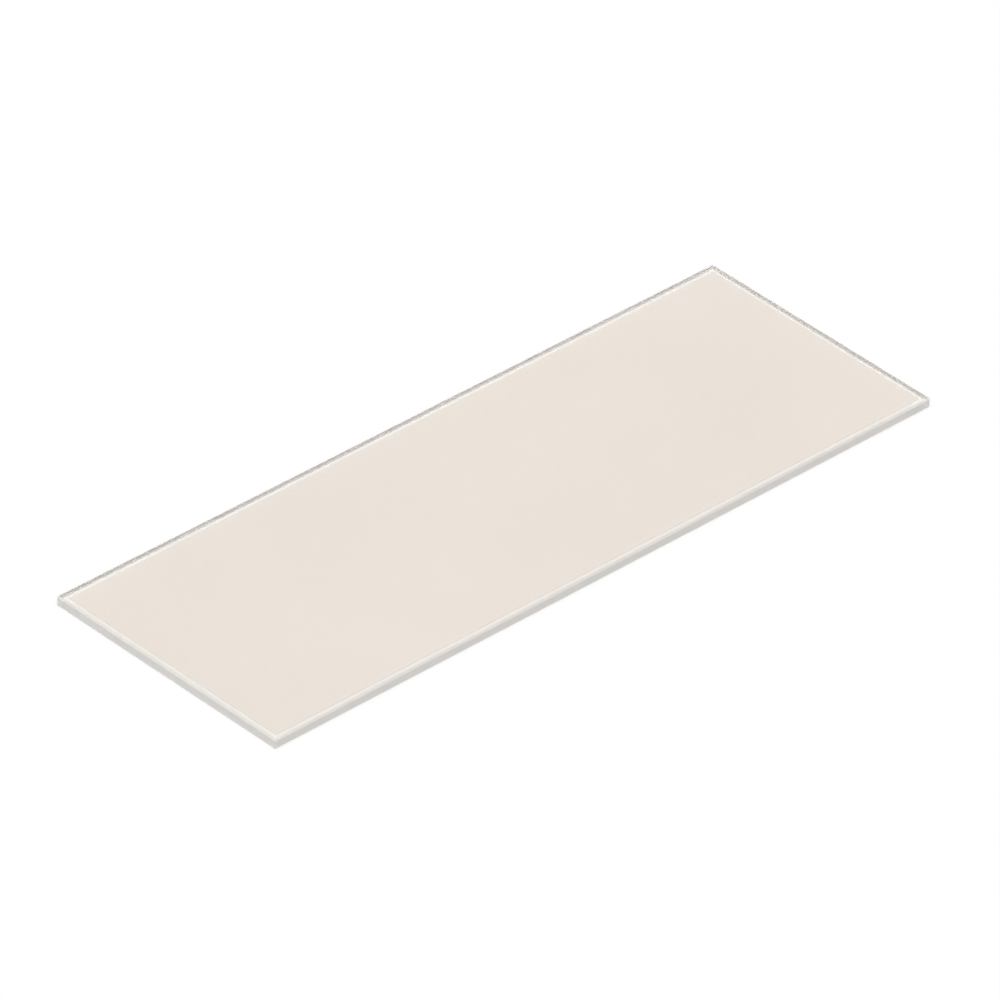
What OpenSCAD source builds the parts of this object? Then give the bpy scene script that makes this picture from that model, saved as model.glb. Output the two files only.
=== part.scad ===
// Microscope slide: one plate of glass with ground edges and a frosting printed on one face.
// It lies flat with the frosted face up. The origin is the middle of the underside,
// +X runs along the length, +Y along the width and +Z up.

/* [Glass] */
// Length of the glass
slide_l = 75; // [25:0.5:120]
// Width of the glass
slide_w = 25; // [12:0.5:75]
// Thickness of the glass
glass_t = 1; // [0.8:0.05:2]

/* [Ground edges] */
// Width and height of the 45 degree bevel ground along every edge
bevel = 0.15; // [0.05:0.01:0.18]
// Radius of the four corners, seen from above
corner_r = 0.2; // [0.2:0.05:3]

/* [Frosting] */
// Width of the bare glass between the bevel and the frosting, at the front and at the left
bare_near = 0.35; // [0.1:0.05:4]
// Width of the bare glass between the bevel and the frosting, at the back and at the right
bare_far = 0.75; // [0.1:0.05:4]
// Thickness of the frosting on the glass
frost_t = 0.02; // [0.01:0.005:0.1]
// Radius of the frosting's four corners
frost_corner_r = 0.1; // [0.05:0.05:1.5]

/* [Hidden] */
$fn = 64;
frost_l = slide_l - 2 * bevel - bare_near - bare_far;
frost_w = slide_w - 2 * bevel - bare_near - bare_far;
// How far the middle of the frosting lies off the middle of the glass, along X and along Y
frost_off = (bare_near - bare_far) / 2;
// The frosting is rooted in the middle of the glass, so that the two are one solid
frost_root_z = glass_t / 2;

// Half of a plate's section, from its middle out to a bevelled edge at x = reach
module half_section(reach) {
    polygon([
        [0, 0],
        [reach - bevel, 0],
        [reach, bevel],
        [reach, glass_t - bevel],
        [reach - bevel, glass_t],
        [0, glass_t],
    ]);
}

// Plate with bevelled edges at x = -reach and x = reach, cut off square at y = -run / 2 and run / 2
module bevelled_strip(reach, run) {
    rotate([90, 0, 0])
        linear_extrude(height = run, center = true) {
            half_section(reach);
            mirror([1, 0]) half_section(reach);
        }
}

// Puts its children at each corner of a rectangle of l by w
module at_corners(l, w) {
    for (x = [-l / 2, l / 2], y = [-w / 2, w / 2])
        translate([x, y]) children();
}

module glass_plate() {
    color([0.80, 0.86, 0.83]) {
        bevelled_strip(slide_l / 2, slide_w - 2 * corner_r);
        rotate([0, 0, 90]) bevelled_strip(slide_w / 2, slide_l - 2 * corner_r);
        at_corners(slide_l - 2 * corner_r, slide_w - 2 * corner_r)
            rotate_extrude() half_section(corner_r);
    }
}

module frosting() {
    color([0.92, 0.88, 0.84])
        translate([frost_off, frost_off, frost_root_z])
            linear_extrude(height = glass_t + frost_t - frost_root_z) {
                square([frost_l, frost_w - 2 * frost_corner_r], center = true);
                square([frost_l - 2 * frost_corner_r, frost_w], center = true);
                at_corners(frost_l - 2 * frost_corner_r, frost_w - 2 * frost_corner_r)
                    circle(r = frost_corner_r);
            }
}

module slide() {
    union() {
        glass_plate();
        frosting();
    }
}

slide();
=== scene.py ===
import math

import bpy
from mathutils import Matrix, Vector


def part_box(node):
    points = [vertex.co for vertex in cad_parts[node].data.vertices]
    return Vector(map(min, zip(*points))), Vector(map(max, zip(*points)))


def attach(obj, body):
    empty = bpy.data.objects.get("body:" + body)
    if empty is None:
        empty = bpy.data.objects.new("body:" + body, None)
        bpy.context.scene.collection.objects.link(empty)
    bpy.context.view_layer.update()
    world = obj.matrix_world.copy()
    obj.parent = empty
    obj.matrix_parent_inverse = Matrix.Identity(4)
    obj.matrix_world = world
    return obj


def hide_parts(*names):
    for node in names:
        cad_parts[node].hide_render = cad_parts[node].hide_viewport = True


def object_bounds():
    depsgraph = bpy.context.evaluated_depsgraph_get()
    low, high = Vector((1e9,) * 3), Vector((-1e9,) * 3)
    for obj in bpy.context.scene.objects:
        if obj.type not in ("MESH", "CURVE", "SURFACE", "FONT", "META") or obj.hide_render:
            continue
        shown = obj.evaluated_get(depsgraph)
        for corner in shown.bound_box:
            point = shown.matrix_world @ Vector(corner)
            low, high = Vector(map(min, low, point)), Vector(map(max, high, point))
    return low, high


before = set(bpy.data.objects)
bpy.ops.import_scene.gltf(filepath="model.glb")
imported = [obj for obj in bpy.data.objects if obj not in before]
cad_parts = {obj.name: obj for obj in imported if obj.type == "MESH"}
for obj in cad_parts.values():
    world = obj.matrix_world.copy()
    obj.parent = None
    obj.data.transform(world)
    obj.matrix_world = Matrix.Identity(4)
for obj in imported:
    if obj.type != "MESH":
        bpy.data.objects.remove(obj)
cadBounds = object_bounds()
mm = 0.001


def linearColour(hexColour):
    # sRGB hex to the linear values that the nodes take
    channels = [int(hexColour[i:i + 2], 16) / 255 for i in (1, 3, 5)]
    return [c / 12.92 if c <= 0.04045 else ((c + 0.055) / 1.055) ** 2.4 for c in channels] + [1.0]


def addNode(tree, kind, inputs=None, **settings):
    # inputs: socket name or number to a plain value or to another node's output
    node = tree.nodes.new(kind)
    for name, value in settings.items():
        setattr(node, name, value)
    for name, value in (inputs or {}).items():
        if isinstance(value, bpy.types.NodeSocket):
            tree.links.new(value, node.inputs[name])
        else:
            node.inputs[name].default_value = value
    return node


def emptyMaterial(name):
    material = bpy.data.materials.new(name)
    material.use_nodes = True
    material.node_tree.nodes.clear()
    return material, material.node_tree


glassValues = {
    "tint": "#FFFCF8",  # soda-lime float glass, clear at this thickness
    "ior": 1.52,
    "roughness": 0.0,
}

groundValues = {
    "colour": "#F1F0ED",
    "ior": 1.52,
    "roughness": 0.29,
    "clearShare": 0.42,  # the rest scatters in the ground skin
    "grainSize": 0.1 * mm,  # a fine wheel's marks are 0.02 mm apart, drawn coarser so that they show
    "grainDepth": 0.002 * mm,
}

bevelValues = {
    # painted a little whiter than the edge faces' colour: a painted highlight along the bevels,
    # between the grey edge and the frosting
    "colour": "#F6F4F0",
    "ior": 1.52,
    "roughness": 0.6,  # a coarser stone than the faces had, so it is duller; its whiter colour is a painted highlight
    "clearShare": 0.39,
    "grainSize": 0.15 * mm,
    "grainDepth": 0.003 * mm,
}

frostValues = {
    "colour": "#F4EDE6",
    "warmColour": "#E7DBCF",
    "mottleSize": 16 * mm,
    "grainShare": 0.55,  # of the change of colour, and the mottle makes the rest
    "ior": 1.52,
    "roughness": 0.5,
    "clearShare": 0.15,  # the rest scatters in the ink
    "grainSize": 0.25 * mm,  # ink grain is 0.03 mm, drawn coarser so that it shows
    "grainDepth": 0.003 * mm,
}


def clearGlassMaterial(values):
    # polished float glass: no colour head on, mirror-smooth
    material, tree = emptyMaterial("clearFloatGlass")
    glass = addNode(tree, "ShaderNodeBsdfPrincipled", {
        "Base Color": linearColour(values["tint"]),
        "Roughness": values["roughness"],
        "IOR": values["ior"],
        "Transmission Weight": 1,
    })
    addNode(tree, "ShaderNodeOutputMaterial", {"Surface": glass.outputs["BSDF"]})
    return material


def addGrain(tree, place, values):
    # fine noise, given back as a height and as the normal of a surface of that height
    grain = addNode(tree, "ShaderNodeTexNoise", {"Vector": place, "Scale": 1 / values["grainSize"]})
    height = grain.outputs["Fac"]
    bump = addNode(tree, "ShaderNodeBump", {"Height": height, "Distance": values["grainDepth"]})
    return height, bump.outputs["Normal"]


def groundGlassMaterial(name, values):
    # glass ground with a stone: satin, grey against a white ground
    material, tree = emptyMaterial(name)
    place = addNode(tree, "ShaderNodeTexCoord").outputs["Object"]
    glass = addNode(tree, "ShaderNodeBsdfPrincipled", {
        "Base Color": linearColour(values["colour"]),
        "Roughness": values["roughness"],
        "IOR": values["ior"],
        "Transmission Weight": values["clearShare"],
        "Normal": addGrain(tree, place, values)[1],
    })
    addNode(tree, "ShaderNodeOutputMaterial", {"Surface": glass.outputs["BSDF"]})
    return material


def frostingMaterial(values):
    # cream ink printed and baked on the glass: matt, and it passes a little light but blurs it
    material, tree = emptyMaterial("printedFrosting")
    place = addNode(tree, "ShaderNodeTexCoord").outputs["Object"]
    mottle = addNode(tree, "ShaderNodeTexNoise", {"Vector": place, "Scale": 1 / values["mottleSize"]})
    height, normal = addGrain(tree, place, values)
    change = addNode(tree, "ShaderNodeMix", {
        0: values["grainShare"],
        2: mottle.outputs["Fac"],
        3: height,
    }, data_type="FLOAT")
    colour = addNode(tree, "ShaderNodeMix", {
        0: change.outputs[0],
        6: linearColour(values["colour"]),
        7: linearColour(values["warmColour"]),
    }, data_type="RGBA")
    ink = addNode(tree, "ShaderNodeBsdfPrincipled", {
        "Base Color": colour.outputs[2],
        "Roughness": values["roughness"],
        "IOR": values["ior"],
        "Transmission Weight": values["clearShare"],
        "Normal": normal,
    })
    addNode(tree, "ShaderNodeOutputMaterial", {"Surface": ink.outputs["BSDF"]})
    return material


slideValues = {
    "bevel": 0.15 * mm,
    "cornerRadius": 0.2 * mm,
    "cornerSteps": 8,
    "bareNear": 0.35 * mm,  # from the bevel to the frosting, at the front and at the left
    "bareFar": 0.75 * mm,  # and at the back and at the right
    "frostThickness": 0.02 * mm,
    "smoothAngle": 30,  # sharper edges than this stay crisp
}

sameHeight = 0.001 * mm  # heights closer than this are the same
levelNormal = 0.99  # a level face's normal has more than this along Z
sideNormal = 0.1  # and an upright one's less than this


def selectOnly(mesh, mode, isWanted):
    # ends in edit mode, with those edges or faces selected that isWanted picks
    bpy.ops.object.mode_set(mode="EDIT")
    bpy.ops.mesh.select_mode(type=mode)
    bpy.ops.mesh.select_all(action="DESELECT")
    bpy.ops.object.mode_set(mode="OBJECT")
    for item in mesh.edges if mode == "EDGE" else mesh.polygons:
        item.select = isWanted(item)
    bpy.ops.object.mode_set(mode="EDIT")


def makeSlide(values):
    low, high = (Vector(corner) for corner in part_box("slide"))
    glassTop = high.z - values["frostThickness"]
    size = Vector((high.x - low.x, high.y - low.y, glassTop - low.z))
    centre = Vector(((low.x + high.x) / 2, (low.y + high.y) / 2, (low.z + glassTop) / 2))
    bpy.ops.object.select_all(action="DESELECT")
    bpy.ops.mesh.primitive_cube_add(size=1, location=centre)
    plate = bpy.context.object
    plate.name = plate.data.name = "glassSlide"
    plate.scale = size
    bpy.ops.object.transform_apply(location=True, rotation=True, scale=True)
    mesh = plate.data

    def isUpright(edge):
        first, last = (mesh.vertices[i].co.z for i in edge.vertices)
        return abs(first - last) > sameHeight

    # round the four corners
    selectOnly(mesh, "EDGE", isUpright)
    bpy.ops.mesh.bevel(offset=values["cornerRadius"], segments=values["cornerSteps"], affect="EDGES")
    bpy.ops.object.mode_set(mode="OBJECT")

    # grind the bevels round both faces
    selectOnly(mesh, "EDGE", lambda edge: not isUpright(edge))
    bpy.ops.mesh.bevel(offset=values["bevel"], segments=1, affect="EDGES")
    bpy.ops.object.mode_set(mode="OBJECT")

    # the frosting's field, set in from the bevel and raised
    selectOnly(mesh, "FACE", lambda face: face.normal.z > levelNormal)
    bareBoth = values["bareNear"] + values["bareFar"]
    fieldScale = [1 - bareBoth / (side - 2 * values["bevel"]) for side in size.xy]
    fieldOffset = (values["bareNear"] - values["bareFar"]) / 2
    bpy.ops.mesh.extrude_region()
    bpy.ops.transform.resize(value=(*fieldScale, 1), center_override=(*centre.xy, glassTop))
    bpy.ops.transform.translate(value=(fieldOffset, fieldOffset, 0))
    bpy.ops.mesh.extrude_region()
    bpy.ops.transform.translate(value=(0, 0, values["frostThickness"]))
    bpy.ops.object.mode_set(mode="OBJECT")

    bpy.ops.object.shade_smooth_by_angle(angle=math.radians(values["smoothAngle"]))
    for material in (clearGlassMaterial(glassValues),
                     groundGlassMaterial("groundGlassEdge", groundValues),
                     groundGlassMaterial("groundGlassBevelPaintedLighter", bevelValues),
                     frostingMaterial(frostValues)):
        mesh.materials.append(material)
    clear, edge, bevel, frost = range(4)
    for face in mesh.polygons:
        slope = abs(face.normal.z)
        if face.center.z > glassTop + sameHeight:
            face.material_index = frost
        elif slope > levelNormal:
            face.material_index = clear
        elif slope > sideNormal:
            face.material_index = bevel
        else:
            face.material_index = edge
    return plate


slide = makeSlide(slideValues)
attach(slide, "root")
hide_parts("slide")
print("slide made:", len(slide.data.polygons), "faces")

stageValues = {
    "floorSize": 12,
    "floorColour": "#F2F2F2",  # what the floor throws back on the slide
    "seenColour": "#FFFFFF",  # the floor and the air round it, as they are seen
    "gapUnderSlide": 0.02 * mm,
    "shadowShare": 0.29,  # how much of the shadow shows on the white floor
    "worldLight": 0.48,
    "sunLight": 0.52,  # what the sun adds on a level surface, where 1 shows a colour as written
    "sunAzimuth": -60,
    "sunElevation": 63,
    "sunAngle": 60,
}


def direction(azimuth, elevation):
    # from the object to a point seen along that azimuth, where 0 looks along +Y
    a, e = math.radians(azimuth), math.radians(elevation)
    return Vector((math.sin(a) * math.cos(e), -math.cos(a) * math.cos(e), math.sin(e)))


def seenRay(tree):
    # 1 for what the camera sees directly, in a mirror or through glass
    path = addNode(tree, "ShaderNodeLightPath")
    inGlass = addNode(tree, "ShaderNodeMath", {
        0: path.outputs["Is Glossy Ray"],
        1: path.outputs["Is Transmission Ray"],
    }, operation="MAXIMUM")
    seen = addNode(tree, "ShaderNodeMath", {
        0: path.outputs["Is Camera Ray"],
        1: inGlass.outputs["Value"],
    }, operation="MAXIMUM")
    return seen.outputs["Value"]


def makeFloor(values):
    bpy.ops.object.select_all(action="DESELECT")
    bpy.ops.mesh.primitive_plane_add(size=values["floorSize"],
                                     location=(0, 0, -values["gapUnderSlide"]))
    floor = bpy.context.object
    floor.name = "floor"
    material, tree = emptyMaterial("palePaperFloor")
    seen = seenRay(tree)
    colour = addNode(tree, "ShaderNodeMix", {
        0: seen,
        6: linearColour(values["floorColour"]),
        7: linearColour(values["seenColour"]),
    }, data_type="RGBA")
    paper = addNode(tree, "ShaderNodeBsdfDiffuse", {"Color": colour.outputs[2]})
    white = addNode(tree, "ShaderNodeEmission", {"Color": linearColour(values["seenColour"])})
    whiteShare = addNode(tree, "ShaderNodeMath", {
        0: seen,
        1: 1 - values["shadowShare"],
    }, operation="MULTIPLY")
    shown = addNode(tree, "ShaderNodeMixShader", {
        0: whiteShare.outputs["Value"],
        1: paper.outputs["BSDF"],
        2: white.outputs["Emission"],
    })
    addNode(tree, "ShaderNodeOutputMaterial", {"Surface": shown.outputs["Shader"]})
    material.cycles.emission_sampling = "NONE"  # it lights nothing, it is only seen
    floor.data.materials.append(material)


def makeLight(values):
    world = bpy.data.worlds.new("studio")
    bpy.context.scene.world = world
    world.use_nodes = True
    tree = world.node_tree
    tree.nodes.clear()
    strength = addNode(tree, "ShaderNodeMapRange", {
        "Value": seenRay(tree),
        "To Min": values["worldLight"],
        "To Max": 1,  # seen, it is plain white
    })
    light = addNode(tree, "ShaderNodeBackground", {
        "Color": linearColour(values["seenColour"]),
        "Strength": strength.outputs["Result"],
    })
    addNode(tree, "ShaderNodeOutputWorld", {"Surface": light.outputs["Background"]})

    towards = direction(values["sunAzimuth"], values["sunElevation"])
    bpy.ops.object.light_add(type="SUN", location=towards,
                             rotation=towards.to_track_quat("Z", "Y").to_euler())
    sun = bpy.context.object
    sun.name = "softKey"
    sun.data.energy = math.pi * values["sunLight"] / towards.z
    sun.data.angle = math.radians(values["sunAngle"])


cameraValues = {
    "azimuth": -48.1,
    "elevation": 34.9,
    "roll": 5.3,
    "distance": 1.048,
    "lens": 468,
    "sensorWidth": 36,
}


def makeCamera(values, target):
    back = direction(values["azimuth"], values["elevation"])
    bpy.ops.object.camera_add()
    camera = bpy.context.object
    roll = Matrix.Rotation(math.radians(values["roll"]), 3, "Z")
    turn = back.to_track_quat("Z", "Y").to_matrix() @ roll
    camera.matrix_world = Matrix.Translation(target + back * values["distance"]) @ turn.to_4x4()
    camera.data.lens = values["lens"]
    camera.data.sensor_width = values["sensorWidth"]
    bpy.context.scene.camera = camera


makeFloor(stageValues)
makeLight(stageValues)
boxCentre = (Vector(cadBounds[0]) + Vector(cadBounds[1])) / 2
makeCamera(cameraValues, boxCentre)
bpy.context.scene.view_settings.view_transform = "Standard"
print("floor, light and camera made")
